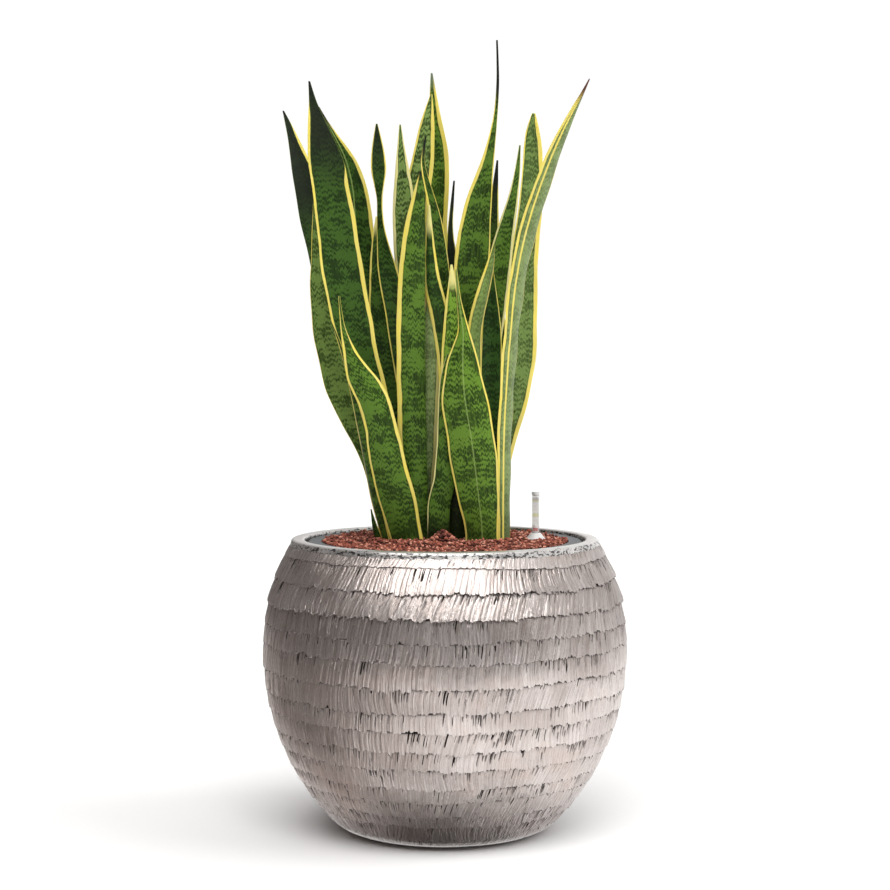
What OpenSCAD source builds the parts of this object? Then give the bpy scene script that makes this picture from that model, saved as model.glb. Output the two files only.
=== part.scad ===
// Globe planter with a lift-out hydroculture set: leaf-faced shell, liner, culture pot,
// water-level gauge and a clump of sword-shaped leaves.
// Units are millimetres, +Z is up, and the origin is the centre of the foot, on the floor.

/* [Shell] */
// Height of the shell, floor to rim
pot_h = 320; // [310:1:330]
// Radius at the belly, the widest place
belly_r = 200; // [195:1:210]
// Height of the belly above the floor
belly_z = 198; // [190:1:205]
// Radius of the profile's arc above the belly
upper_arc_r = 242; // [235:1:255]
// Radius of the profile's arc below the belly
lower_arc_r = 268; // [262:1:280]
// Radius of the flat foot
foot_r = 98; // [90:1:102]
// Thickness of the shell's wall
wall_t = 5; // [3:0.5:6]
// Thickness of the shell's floor
floor_t = 7; // [5:0.5:9]
// Radius of the mouth, inside the rim
mouth_r = 154; // [152:0.5:157]
// Height of the rim's inner lip
lip_h = 12; // [10:0.5:14]

/* [Liner] */
// Outer radius of the liner's flange
flange_r = 150; // [148:0.5:151]
// Inner radius of the liner at its top
liner_top_r = 136; // [134:0.5:137]
// Inner radius of the liner at its floor
liner_low_r = 120; // [116:1:124]
// Height of the liner's underside above the floor
liner_z = 108; // [104:1:112]
// Thickness of the liner's wall
liner_t = 2.5; // [2:0.1:3]

/* [Culture pot] */
// Outer radius of the culture pot at its top
culture_top_r = 85; // [84:0.5:86]
// Outer radius of the culture pot at its floor
culture_low_r = 72; // [68:0.5:76]
// Height of the culture pot
culture_h = 189; // [186:1:191]
// Thickness of the culture pot's wall
culture_t = 2; // [1.5:0.1:2.4]
// Number of slots round the culture pot
slot_count = 12; // [6:1:16]

/* [Water gauge] */
// Outer radius of the gauge's clear tube
tube_r = 4.5; // [4.3:0.1:4.8]
// Height of the tube's top above the rim of the shell
tube_above_rim = 47; // [44:1:60]
// Travel of the float
float_travel = 31; // [20:1:31]

/* [Hidden] */
$fn = 96;
PROFILE_STEP = 10;              // spacing in height of the profile's points
RIM_EASE = 3;                   // corner taken off the rim's two edges
CLEAR = 0.3;                    // gap between loose neighbours

// Profile of the shell: two arcs that meet at the belly, moved inwards by inset
function upper_r(z, inset) =
    belly_r - upper_arc_r + sqrt(pow(upper_arc_r - inset, 2) - pow(z - belly_z, 2));
function lower_r(z, inset) =
    belly_r - lower_arc_r + sqrt(pow(lower_arc_r - inset, 2) - pow(z - belly_z, 2));
function shell_r(z, inset = 0) = z > belly_z ? upper_r(z, inset) : lower_r(z, inset);

// Liner and its support
seat_z = pot_h - lip_h;                        // underside of the rim's lip
ring_t = 8;                                    // thickness of the support ring
ring_inner_r = liner_top_r + liner_t + 2.5;
ring_outer_r = shell_r(seat_z, wall_t) - 1;
flange_top_z = pot_h - 3;
liner_floor_z = liner_z + liner_t;
function liner_in_r(z) =
    liner_low_r + (liner_top_r - liner_low_r) * (z - liner_floor_z) / (flange_top_z - liner_floor_z);

// Culture pot, on a thin bed of granules
culture_z = liner_floor_z + 11.5;
culture_top_z = culture_z + culture_h;
bead_h = 4;                                    // rolled rim of the culture pot
bead_r = culture_top_r + 1.5;
function culture_r(z) =
    culture_low_r + (culture_top_r - culture_low_r) * (z - culture_z) / culture_h;
slot_w = 3;
slot_h = 70;
slot_from_floor = 14;

// Surface of the granules, and the crown that the leaves grow from
bed_top_z = flange_top_z - 0.5;
crown_top_z = pot_h - 2;
crown_h = 18;
crown_r = 79;
root_r = 60;
root_h = 120;

// Water gauge, standing on the liner's floor outside the culture pot
gauge_at = [100, 8];
gauge_z = liner_floor_z + CLEAR;
cage_r = 11;
cage_wall = 1.5;
cage_h = 78;
cage_window_w = 3;
cage_window_h = 50;
tube_bore_r = 3.7;
tube_bottom_z = gauge_z + cage_h - 6;
tube_top_z = pot_h + tube_above_rim;
cap_h = 3;
collar_r = 11;
collar_h = 7;
collar_z = bed_top_z + 1;
bore_r = cage_r + 1;
float_r = 7.5;
float_h = 28;
float_z = gauge_z + 5;
rod_r = 1;
tip_r = 2.8;
tip_h = 8;
tip_z = pot_h + 5;

// Leaves. Each station is [height above the crown, x, y, width, turn of the blade about Z].
// keel is -1 where the fold's outer side faces -Y and 1 where it faces +Y.
LEAF_T = 3;                     // thickness of a blade at its middle
LEAF_EDGE_T = 1.2;              // thickness of a blade at its margins
LEAF_FOLD = 0.09;               // depth of the fold over the blade's width
LEAF_STEPS = 2;                 // rings from one station to the next
LEAF_ROOT = 3;                  // how far a blade starts below the crown's top
LEAVES = [
    ["leaf_front_right", -1, [
        [0, 40, -30, 36, 4], [22, 39, -33, 38, 5], [62, 34, -37, 48, 6], [112, 28, -42, 52, 4],
        [157, 21, -46, 49, 2], [197, 19, -49, 33, 0], [227, 20, -51, 14, -10],
        [262, 15, -52, 5, -20], [294, 12, -53, 2, -20]]],
    ["leaf_front_left", -1, [
        [0, -41, -30, 35, -6], [44, -51, -36, 41, -6], [84, -61, -42, 40, -4],
        [122, -68, -46, 35, 4], [152, -76, -49, 36, 8], [177, -88, -51, 34, 10],
        [202, -100, -53, 18, 20], [232, -109, -54, 6, 30], [266, -113, -55, 2, 30]]],
    ["leaf_left_strip", -1, [
        [0, -64, -17, 14, -48], [44, -75, -20, 18, -52], [82, -82, -24, 20, -56],
        [122, -90, -29, 16, -50], [162, -99, -34, 10, -50], [212, -112, -40, 5, -50],
        [238, -122, -42, 2, -50]]],
    ["leaf_low_blade", -1, [
        [0, -72, -4, 11, -40], [12, -76, -5, 9, -40], [24, -79, -6, 5, -40],
        [34, -81, -7, 2, -40]]],
    ["leaf_front_small", -1, [
        [0, -8, -27, 23, 6], [44, -6, -30, 25, 4], [66, -1, -32, 24, 4], [109, 0, -34, 18, 2],
        [159, 0, -36, 14, 0], [182, 0, -37, 8, 0], [204, 3, -38, 2, 0]]],
    ["leaf_front_tall", -1, [
        [0, -32, -16, 28, 0], [62, -34, -20, 30, 0], [132, -36, -24, 31, 2],
        [222, -37, -29, 31, 2], [282, -36, -33, 29, 0], [332, -33, -37, 24, -4],
        [372, -29, -40, 13, -6], [399, -26, -42, 2, -8]]],
    ["leaf_right_folded", -1, [
        [0, 64, -18, 22, 52], [62, 64, -22, 26, 55], [129, 65, -27, 28, 56],
        [222, 71, -34, 28, 54], [297, 80, -40, 29, 50], [357, 95, -46, 28, 46],
        [412, 114, -52, 24, 48], [454, 132, -57, 15, 52], [477, 144, -60, 7, 52],
        [495, 153, -62, 2, 52]]],
    ["leaf_yellow_tip", -1, [
        [0, 14, -17, 22, 0], [82, 12, -20, 26, 0], [162, 8, -24, 26, 0], [232, 8, -28, 20, 0],
        [272, 8, -31, 11, 0], [300, 7, -33, 2, 0]]],
    ["leaf_folded_pale", -1, [
        [0, 25, -8, 18, 20], [82, 30, -11, 22, 20], [162, 30, -14, 22, 24],
        [227, 32, -19, 19, 28], [267, 40, -26, 17, 32], [297, 48, -29, 11, 32],
        [322, 53, -31, 2, 32]]],
    ["leaf_narrow_dark", -1, [
        [0, 2, -7, 22, -6], [82, 4, -10, 24, -6], [162, 6, -16, 24, -6], [230, -2, -21, 22, -6],
        [282, -14, -25, 19, -6], [327, -17, -28, 10, -4], [364, -17, -31, 2, -4]]],
    ["leaf_pale_strip", -1, [
        [0, -26, -5, 18, -4], [82, -22, -8, 24, -4], [152, -19, -11, 25, -4],
        [212, -16, -14, 23, -4], [262, -13, -17, 14, -4], [294, -12, -19, 2, -4]]],
    ["leaf_left_broad", 1, [
        [0, -48, -12, 24, -6], [82, -60, -16, 28, -6], [149, -77, -21, 36, -4],
        [198, -91, -25, 40, -2], [242, -101, -28, 44, 0], [296, -111, -31, 45, 2],
        [351, -118, -34, 42, 4], [412, -128, -38, 37, 6], [447, -136, -40, 22, 8],
        [472, -141, -42, 9, 8], [495, -145, -43, 2, 8]]],
    ["leaf_right_centre", 1, [
        [0, 10, 4, 26, -4], [102, 12, 2, 32, -4], [192, 17, -2, 37, -4], [282, 27, -7, 38, -4],
        [337, 32, -10, 35, -2], [377, 38, -13, 26, 0], [417, 47, -15, 13, 4],
        [457, 54, -17, 5, 6], [497, 57, -18, 3, 6], [542, 56, -19, 2, 6]]],
    ["leaf_dark_back", 1, [
        [0, 46, 0, 20, 24], [82, 48, 1, 24, 24], [162, 50, 2, 26, 22], [232, 51, 3, 22, 20],
        [277, 50, 3, 12, 18], [307, 50, 3, 2, 18]]],
    ["leaf_twisted", 1, [
        [0, -14, 6, 18, -10], [102, -28, 3, 24, -10], [192, -44, -1, 26, -10],
        [252, -54, -4, 25, -14], [302, -64, -7, 22, -24], [342, -70, -9, 13, -50],
        [372, -71, -10, 10, -52], [402, -72, -11, 17, -14], [427, -73, -12, 13, -8],
        [453, -74, -13, 2, -8]]],
    ["leaf_bright_tip", 1, [
        [0, -34, 10, 20, -4], [82, -44, 9, 26, -4], [182, -60, 8, 30, -6], [242, -70, 7, 26, -8],
        [292, -74, 6, 18, -10], [327, -75, 5, 10, -10], [354, -75, 5, 2, -10]]],
    ["leaf_hook_tip", 1, [
        [0, 0, 16, 22, 6], [82, 0, 13, 26, 6], [182, -2, 9, 28, 6], [252, -4, 5, 27, 6],
        [312, -8, 1, 22, 8], [352, -11, -2, 14, 12], [387, -19, -4, 8, 20],
        [412, -24, -6, 5, 24], [440, -21, -7, 2, 24]]],
    ["leaf_left_outer", 1, [
        [0, -56, 16, 24, 18], [87, -78, 16, 34, 22], [122, -94, 17, 38, 24],
        [162, -110, 18, 44, 24], [223, -123, 19, 47, 24], [272, -128, 20, 43, 22],
        [307, -132, 20, 33, 20], [342, -138, 19, 18, 20], [370, -143, 18, 4, 20]]],
    ["leaf_left_lean", 1, [
        [0, -48, 36, 22, 22], [102, -76, 44, 28, 26], [202, -108, 53, 36, 30],
        [282, -130, 60, 38, 34], [354, -146, 65, 38, 34], [411, -160, 69, 29, 34],
        [447, -171, 72, 14, 34], [477, -182, 74, 2, 34]]],
    ["leaf_left_curl", 1, [
        [0, -32, 25, 20, 2], [102, -46, 24, 28, 2], [202, -70, 23, 34, 2], [282, -88, 22, 38, 2],
        [342, -98, 21, 38, 2], [382, -101, 20, 33, 2], [417, -109, 19, 22, 4],
        [444, -122, 18, 9, 6], [460, -131, 18, 4, 6], [475, -139, 18, 2, 6]]],
    ["leaf_pale_margin", 1, [
        [0, -10, 22, 16, -6], [122, -24, 18, 26, -6], [242, -35, 13, 30, -6],
        [302, -40, 10, 30, -6], [350, -44, 8, 27, -4], [392, -46, 6, 19, 0],
        [427, -48, 5, 9, 4], [454, -49, 4, 2, 4]]],
    ["leaf_centre_high", 1, [
        [0, -13, 33, 20, 2], [122, -22, 30, 27, 2], [242, -33, 25, 31, 2], [322, -34, 22, 31, 2],
        [372, -32, 19, 30, 2], [412, -25, 17, 25, 2], [452, -20, 15, 17, 2],
        [488, -15, 13, 2, 2]]],
    ["leaf_centre_back", 1, [
        [0, 8, 40, 20, -8], [122, 0, 46, 28, -10], [242, -12, 52, 32, -10],
        [334, -14, 57, 33, -10], [386, -11, 60, 31, -10], [427, -9, 62, 26, -10],
        [474, -12, 64, 13, -10], [518, -15, 66, 2, -10]]],
    ["leaf_centre_spike", 1, [
        [0, 10, 22, 18, -6], [102, 12, 22, 20, -6], [202, 12, 21, 22, -6], [272, 9, 20, 20, -6],
        [317, 7, 19, 11, -6], [342, 6, 18, 6, -6], [394, 10, 17, 2, -6]]],
    ["leaf_right_inner", 1, [
        [0, 26, 18, 20, 10], [122, 32, 17, 26, 10], [222, 48, 15, 30, 10], [292, 58, 13, 28, 12],
        [332, 65, 12, 22, 14], [372, 74, 10, 13, 18], [402, 79, 9, 7, 18], [432, 82, 8, 2, 18]]],
    ["leaf_right_spike", 1, [
        [0, 30, 31, 16, 4], [122, 34, 32, 24, 4], [242, 44, 33, 26, 4], [312, 50, 34, 20, 4],
        [362, 54, 34, 11, 4], [392, 56, 34, 6, 4], [418, 58, 34, 2, 4]]],
    ["leaf_right_outer", 1, [
        [0, 50, 26, 22, 18], [52, 54, 29, 28, 20], [98, 62, 32, 33, 22], [142, 74, 35, 35, 24],
        [186, 84, 38, 35, 24], [242, 87, 42, 35, 22], [303, 88, 46, 33, 18],
        [364, 95, 50, 28, 16], [420, 98, 53, 23, 14], [451, 98, 55, 16, 12],
        [472, 99, 56, 4, 12]]],
    ["leaf_back_left", 1, [
        [0, -34, 52, 26, 34], [80, -48, 70, 34, 34], [150, -58, 88, 38, 32],
        [210, -66, 104, 30, 30], [245, -70, 114, 15, 30], [268, -72, 121, 2, 30]]],
    ["leaf_back_middle", 1, [
        [0, 4, 58, 26, 4], [90, 4, 74, 34, 4], [180, 2, 92, 38, 2], [240, 0, 106, 28, 0],
        [275, -2, 115, 14, 0], [298, -3, 121, 2, 0]]],
    ["leaf_back_right", 1, [
        [0, 38, 48, 24, -28], [80, 46, 64, 32, -28], [150, 54, 80, 34, -26],
        [205, 60, 94, 26, -24], [238, 64, 103, 12, -24], [258, 66, 109, 2, -24]]],
    ["leaf_back_low", 1, [
        [0, -14, 70, 20, 14], [50, -22, 86, 34, 14], [100, -30, 102, 40, 12],
        [140, -36, 116, 30, 12], [168, -40, 127, 12, 12], [184, -42, 134, 2, 12]]],
    ["leaf_back_short", 1, [
        [0, 22, 68, 20, -14], [45, 28, 84, 30, -16], [90, 34, 100, 32, -18],
        [125, 39, 113, 20, -18], [146, 42, 121, 8, -18], [160, 44, 127, 2, -18]]]
];

// ---------------------------------------------------------------- shell

// Heights from low to high, both ends included
function heights(low, high) =
    let (n = ceil((high - low) / PROFILE_STEP)) [for (i = [0 : n]) low + (high - low) * i / n];

module outer_shell() {
    foot_turn_z = 8;
    outside = [for (z = heights(foot_turn_z, pot_h - RIM_EASE)) [shell_r(z), z]];
    inside = [for (z = heights(floor_t + 5, seat_z)) [shell_r(z, wall_t), z]];
    inside_down = [for (i = [len(inside) - 1 : -1 : 0]) inside[i]];
    outline = concat(
        [[0, 0], [foot_r, 0], [foot_r + 9, 1.5], [foot_r + 17, 4.5]],
        outside,
        [[shell_r(pot_h) - 1.5, pot_h], [mouth_r + 1.5, pot_h], [mouth_r, pot_h - 1.5]],
        [[mouth_r, seat_z]],
        inside_down,
        [[foot_r + 10, floor_t], [0, floor_t]]
    );
    color("#c9bdb6") rotate_extrude() polygon(outline);
}

module support_ring() {
    color("#2b2b2d")
        rotate_extrude() translate([ring_inner_r, seat_z - ring_t])
            square([ring_outer_r - ring_inner_r, ring_t]);
}

// ---------------------------------------------------------------- liner

module liner() {
    outline = [
        [0, liner_z], [liner_low_r + liner_t, liner_z],
        [liner_top_r + liner_t, flange_top_z - liner_t],
        [flange_r - liner_t, flange_top_z - liner_t], [flange_r - liner_t, seat_z],
        [flange_r, seat_z], [flange_r, flange_top_z - 1], [flange_r - 1, flange_top_z],
        [liner_top_r, flange_top_z], [liner_low_r, liner_floor_z], [0, liner_floor_z]
    ];
    color("#4a4d50") rotate_extrude() polygon(outline);
}

module liner_granules() {
    low = liner_floor_z + 0.1;
    gap = 2.2;                                 // between the culture pot and its socket
    outline = [
        [0, low], [liner_in_r(low) - CLEAR, low], [liner_in_r(bed_top_z) - CLEAR, bed_top_z],
        [culture_r(bed_top_z) + gap, bed_top_z], [culture_low_r + gap, culture_z - CLEAR],
        [0, culture_z - CLEAR]
    ];
    color("#96493a")
        difference() {
            rotate_extrude() polygon(outline);
            translate([gauge_at[0], gauge_at[1], low - 1]) cylinder(r = bore_r, h = pot_h);
        }
}

// ---------------------------------------------------------------- culture pot

module culture_pot() {
    inner_floor_z = culture_z + culture_t;
    outline = [
        [0, culture_z], [culture_low_r, culture_z],
        [culture_r(culture_top_z - bead_h), culture_top_z - bead_h],
        [bead_r, culture_top_z - bead_h], [bead_r, culture_top_z],
        [culture_top_r - culture_t, culture_top_z],
        [culture_r(inner_floor_z) - culture_t, inner_floor_z], [0, inner_floor_z]
    ];
    slot_z = culture_z + slot_from_floor;
    color("#3a2a22")
        difference() {
            rotate_extrude() polygon(outline);
            for (i = [0 : slot_count - 1])
                rotate([0, 0, (i + 0.5) * 360 / slot_count])
                    translate([culture_low_r - 8, -slot_w / 2, slot_z])
                        cube([20, slot_w, slot_h]);
        }
}

module culture_granules() {
    low = culture_z + culture_t + 0.1;
    side = culture_t + CLEAR;                  // from the pot's outer face to the granules
    crown_low_z = crown_top_z - crown_h;
    root_low_z = crown_low_z - root_h;
    outline = [
        [0, low], [culture_r(low) - side, low],
        [culture_r(culture_top_z) - side, culture_top_z],
        [culture_r(culture_top_z) - side, crown_top_z], [crown_r + CLEAR, crown_top_z],
        [crown_r + CLEAR, crown_low_z - CLEAR], [root_r + CLEAR, crown_low_z - CLEAR],
        [root_r - 10 + CLEAR, root_low_z - CLEAR], [0, root_low_z - CLEAR]
    ];
    color("#a0503e") rotate_extrude() polygon(outline);
}

module root_ball() {
    top_z = crown_top_z - crown_h;
    outline = [[0, top_z - root_h], [root_r - 10, top_z - root_h], [root_r, top_z], [0, top_z]];
    color("#7d6144") rotate_extrude() polygon(outline);
}

module rhizome() {
    color("#8a7350")
        translate([0, 0, crown_top_z - crown_h]) cylinder(r = crown_r, h = crown_h);
}

// ---------------------------------------------------------------- water gauge

// Stands its children over the gauge's axis at height z
module at_gauge(z) {
    translate([gauge_at[0], gauge_at[1], z]) children();
}

module gauge_tube() {
    color("#e8e8ee", 0.5)
        at_gauge(tube_bottom_z)
            difference() {
                cylinder(r = tube_r, h = tube_top_z - tube_bottom_z);
                translate([0, 0, -1]) cylinder(r = tube_bore_r, h = tube_top_z);
            }
}

module gauge_cap() {
    plug_h = 2;
    color("#e9e9e6")
        at_gauge(tube_top_z) {
            cylinder(r = tube_r, h = cap_h);
            translate([0, 0, -plug_h]) cylinder(r = tube_bore_r - 0.1, h = plug_h);
        }
}

// Scale card: the rear half of a thin sleeve inside the tube
module gauge_scale() {
    low_z = pot_h + 3;
    card_h = tube_top_z - 3 - low_z;
    card_r = tube_bore_r - 0.1;
    color("#f2efe0")
        at_gauge(low_z)
            difference() {
                cylinder(r = card_r, h = card_h);
                translate([0, 0, -1]) cylinder(r = card_r - 0.4, h = card_h + 2);
                translate([-card_r - 1, -card_r - 1, -1])
                    cube([2 * card_r + 2, card_r + 1, card_h + 2]);
            }
}

module gauge_collar() {
    top_r = tube_r + 1;
    color("#f4f4f2")
        at_gauge(collar_z)
            difference() {
                union() {
                    cylinder(r = collar_r, h = 1);
                    translate([0, 0, 1]) cylinder(r1 = collar_r - 0.6, r2 = top_r, h = collar_h - 1);
                }
                translate([0, 0, -1]) cylinder(r = tube_r + 0.05, h = collar_h + 2);
            }
}

// Cage at the gauge's foot, with windows that let the water in
module gauge_cage() {
    color("#d9dade")
        at_gauge(gauge_z)
            difference() {
                cylinder(r = cage_r, h = cage_h);
                translate([0, 0, cage_wall]) cylinder(r = cage_r - cage_wall, h = cage_h - 12);
                translate([0, 0, cage_wall]) cylinder(r = tube_bore_r, h = cage_h);
                translate([0, 0, cage_h - 6]) cylinder(r = tube_r + 0.05, h = 7);
                for (turn = [0, 60, 120])
                    rotate([0, 0, turn])
                        translate([-cage_r - 1, -cage_window_w / 2, 8])
                            cube([2 * cage_r + 2, cage_window_w, cage_window_h]);
            }
}

module gauge_float() {
    color("#f5f5f5") at_gauge(float_z) cylinder(r = float_r, h = float_h);
}

module float_rod() {
    color("#dcdcdc")
        at_gauge(float_z + float_h) cylinder(r = rod_r, h = tip_z - float_z - float_h);
}

module red_indicator() {
    color("#b3262a") at_gauge(tip_z) cylinder(r = tip_r, h = tip_h);
}

// ---------------------------------------------------------------- leaves

// Smooth curve through four stations; u runs from 0 at b to 1 at c
function curve(a, b, c, d, u) =
    0.5 * (2 * b + (c - a) * u + (2 * a - 5 * b + 4 * c - d) * pow(u, 2)
        + (3 * b - a - 3 * c + d) * pow(u, 3));

function stations(rows) =
    let (last = len(rows) - 1)
    concat(
        [for (i = [0 : last - 1], k = [0 : LEAF_STEPS - 1])
            curve(rows[max(i - 1, 0)], rows[i], rows[i + 1], rows[min(i + 2, last)],
                k / LEAF_STEPS)],
        [rows[last]]
    );

// Level cross-section of a blade: two margins, and a fold along the middle
function blade_section(station, keel) =
    let (
        z = crown_top_z + station[0],
        half = max(station[3], 1.5) / 2,
        middle_t = min(LEAF_T, 0.7 * half + 0.4) / 2,
        edge_t = min(LEAF_EDGE_T / 2, middle_t),
        fold = LEAF_FOLD * 2 * half * keel,
        flat = [[-half, -edge_t], [0, fold - middle_t], [half, -edge_t],
            [half, edge_t], [0, fold + middle_t], [-half, edge_t]],
        c = cos(station[4]),
        s = sin(station[4])
    )
    [for (p = flat) [station[1] + p[0] * c - p[1] * s, station[2] + p[0] * s + p[1] * c, z]];

// A blade, started below the crown's top and trimmed level with it
module leaf(keel, rows) {
    rooted = concat([rows[0] - [LEAF_ROOT, 0, 0, 0, 0]], stations(rows));
    rings = [for (s = rooted) blade_section(s, keel)];
    n = len(rings);
    sides = len(rings[0]);
    points = [for (ring = rings, p = ring) p];
    walls = [for (i = [0 : n - 2], j = [0 : sides - 1])
        let (k = (j + 1) % sides, low = i * sides, high = low + sides)
        each [[low + j, high + k, low + k], [low + j, high + j, high + k]]];
    bottom = [for (j = [0 : sides - 1]) j];
    top = [for (j = [sides - 1 : -1 : 0]) (n - 1) * sides + j];
    color("#4d7a33")
        difference() {
            polyhedron(points, concat([bottom], walls, [top]));
            translate([-crown_r, -crown_r, crown_top_z - crown_h])
                cube([2 * crown_r, 2 * crown_r, crown_h]);
        }
}

// ---------------------------------------------------------------- assembly

outer_shell();
support_ring();
liner();
liner_granules();
culture_pot();
culture_granules();
root_ball();
rhizome();
gauge_tube();
gauge_cap();
gauge_scale();
gauge_collar();
gauge_cage();
gauge_float();
float_rod();
red_indicator();
for (row = LEAVES)
    leaf(row[1], row[2]);
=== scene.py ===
"""Looks of a globe planter in metal leaf, with clay granules, a water gauge and sword-shaped leaves.
Lengths in the helpers are in millimetres, in the frame's coordinates; meshes are written in metres."""
import math

import bmesh
import bpy
import numpy as np
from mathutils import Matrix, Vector


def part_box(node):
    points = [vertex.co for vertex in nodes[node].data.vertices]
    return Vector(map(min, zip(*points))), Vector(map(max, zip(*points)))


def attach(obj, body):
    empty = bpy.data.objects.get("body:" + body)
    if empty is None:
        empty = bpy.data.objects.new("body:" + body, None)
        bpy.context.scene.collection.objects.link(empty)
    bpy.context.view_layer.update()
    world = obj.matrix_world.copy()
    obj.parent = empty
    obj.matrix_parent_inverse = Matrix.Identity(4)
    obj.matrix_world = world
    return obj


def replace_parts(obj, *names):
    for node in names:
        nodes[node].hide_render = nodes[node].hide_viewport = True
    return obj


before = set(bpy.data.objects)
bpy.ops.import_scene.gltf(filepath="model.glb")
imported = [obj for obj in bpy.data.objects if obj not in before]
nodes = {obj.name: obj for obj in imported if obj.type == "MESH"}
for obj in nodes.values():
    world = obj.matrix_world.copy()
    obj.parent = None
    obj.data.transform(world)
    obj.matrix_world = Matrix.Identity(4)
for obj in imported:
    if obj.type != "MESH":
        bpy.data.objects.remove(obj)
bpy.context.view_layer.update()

MM = 0.001
scene = bpy.context.scene


# ---------------------------------------------------------------- helpers: nodes

class Look:
    """A material and a short way to write its nodes."""

    def __init__(self, name):
        self.material = bpy.data.materials.new(name)
        self.material.use_nodes = True
        self.tree = self.material.node_tree
        self.tree.nodes.clear()
        out = self.add("ShaderNodeOutputMaterial")
        self.shader = self.add("ShaderNodeBsdfPrincipled")
        self.tree.links.new(self.shader.outputs[0], out.inputs["Surface"])

    def add(self, kind, **values):
        node = self.tree.nodes.new(kind)
        for key, value in values.items():
            setattr(node, key, value)
        return node

    def put(self, socket, value):
        if isinstance(value, bpy.types.NodeSocket):
            self.tree.links.new(value, socket)
        elif isinstance(value, tuple) and len(value) == 3 and socket.type == "RGBA":
            socket.default_value = (*value, 1)
        else:
            socket.default_value = value

    def surface(self, **values):
        for key, value in values.items():
            self.put(self.shader.inputs[key.replace("_", " ")], value)

    def math(self, operation, a, b=0.0, clamp=False):
        node = self.add("ShaderNodeMath", operation=operation, use_clamp=clamp)
        self.put(node.inputs[0], a)
        self.put(node.inputs[1], b)
        return node.outputs[0]

    def times(self, a, b):
        return self.math("MULTIPLY", a, b)

    def plus(self, a, b):
        return self.math("ADD", a, b)

    def minus(self, a, b):
        return self.math("SUBTRACT", a, b)

    def mix(self, factor, a, b):
        node = self.add("ShaderNodeMix", data_type="RGBA", blend_type="MIX")
        self.put(node.inputs[0], factor)
        self.put(node.inputs[6], a)
        self.put(node.inputs[7], b)
        return node.outputs[2]

    def step(self, value, low, high, to_low=0.0, to_high=1.0):
        """Smooth step of a value from low to high, which goes from to_low to to_high."""
        node = self.add("ShaderNodeMapRange", interpolation_type="SMOOTHSTEP")
        for key, number in (("Value", value), ("From Min", low), ("From Max", high),
                            ("To Min", to_low), ("To Max", to_high)):
            self.put(node.inputs[key], number)
        return node.outputs[0]

    def combine(self, x, y, z=0.0):
        node = self.add("ShaderNodeCombineXYZ")
        for k, value in enumerate((x, y, z)):
            self.put(node.inputs[k], value)
        return node.outputs[0]

    def noise(self, vector, detail=2.0, rough=0.5):
        node = self.add("ShaderNodeTexNoise")
        self.put(node.inputs["Vector"], vector)
        node.inputs["Scale"].default_value = 1
        node.inputs["Detail"].default_value = detail
        node.inputs["Roughness"].default_value = rough
        return node.outputs[0]

    def attribute(self, name):
        return self.add("ShaderNodeAttribute", attribute_name=name).outputs["Fac"]

    def place(self):
        return self.add("ShaderNodeTexCoord").outputs["Object"]

    def height(self):
        """Height above the floor, in mm."""
        split = self.add("ShaderNodeSeparateXYZ")
        self.put(split.inputs[0], self.place())
        return self.times(split.outputs[2], 1000)

    def scaled(self, x, y=None, z=None):
        """The object's coordinates times x, or times x, y and z."""
        node = self.add("ShaderNodeMapping")
        self.put(node.inputs["Vector"], self.place())
        node.inputs["Scale"].default_value = (x, y or x, z or x)
        return node.outputs[0]

    def flow(self, u, v, u_scale, v_scale, seed=0.0, detail=2.0, rough=0.5):
        """Noise that runs along a surface's own mm, u across its grain and v along it."""
        across, along = self.times(u, u_scale), self.times(v, v_scale)
        return self.noise(self.combine(across, along, seed), detail, rough)

    def swing(self, noise, size):
        """Noise about 0.5, made into a shift about 0."""
        return self.times(self.minus(noise, 0.5), size)

    def bump(self, height, strength, distance, normal=None):
        node = self.add("ShaderNodeBump")
        node.inputs["Strength"].default_value = strength
        node.inputs["Distance"].default_value = distance
        self.put(node.inputs["Height"], height)
        if normal is not None:
            self.put(node.inputs["Normal"], normal)
        return node.outputs[0]


# ---------------------------------------------------------------- helpers: meshes

def new_mesh(name, points, faces, floats=None, uv=None):
    """A mesh from an (n, 3) array of points in mm and an (m, sides) array of faces, with values at
    its points, by name, and a UV at each corner of its faces."""
    mesh = bpy.data.meshes.new(name)
    count, sides = faces.shape
    mesh.vertices.add(len(points))
    mesh.vertices.foreach_set("co", (np.asarray(points) * MM).astype(np.float32).ravel())
    mesh.loops.add(count * sides)
    mesh.loops.foreach_set("vertex_index", faces.astype(np.int32).ravel())
    mesh.polygons.add(count)
    mesh.polygons.foreach_set("loop_start", np.arange(0, count * sides, sides, dtype=np.int32))
    mesh.update(calc_edges=True)
    mesh.shade_smooth()
    for key, values in (floats or {}).items():
        layer = mesh.attributes.new(key, "FLOAT", "POINT")
        layer.data.foreach_set("value", np.asarray(values, np.float32).ravel())
    if uv is not None:
        layer = mesh.uv_layers.new(name="grain")
        layer.data.foreach_set("uv", uv.astype(np.float32).ravel())
    return mesh


def piece(name, mesh, body, slot, *materials):
    """An object that rides a body."""
    ob = bpy.data.objects.new(name, mesh)
    scene.collection.objects.link(ob)
    for material in materials:
        mesh.materials.append(material)
    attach(ob, body)
    return ob


def grid_faces(rows, columns, start=0):
    """Quads over rows of points that run round and close, numbered from start."""
    here = start + np.arange(rows * columns).reshape(rows, columns)
    beside = np.roll(here, -1, 1)
    return np.stack([here[:-1], here[1:], beside[1:], beside[:-1]], -1).reshape(-1, 4)


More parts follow.
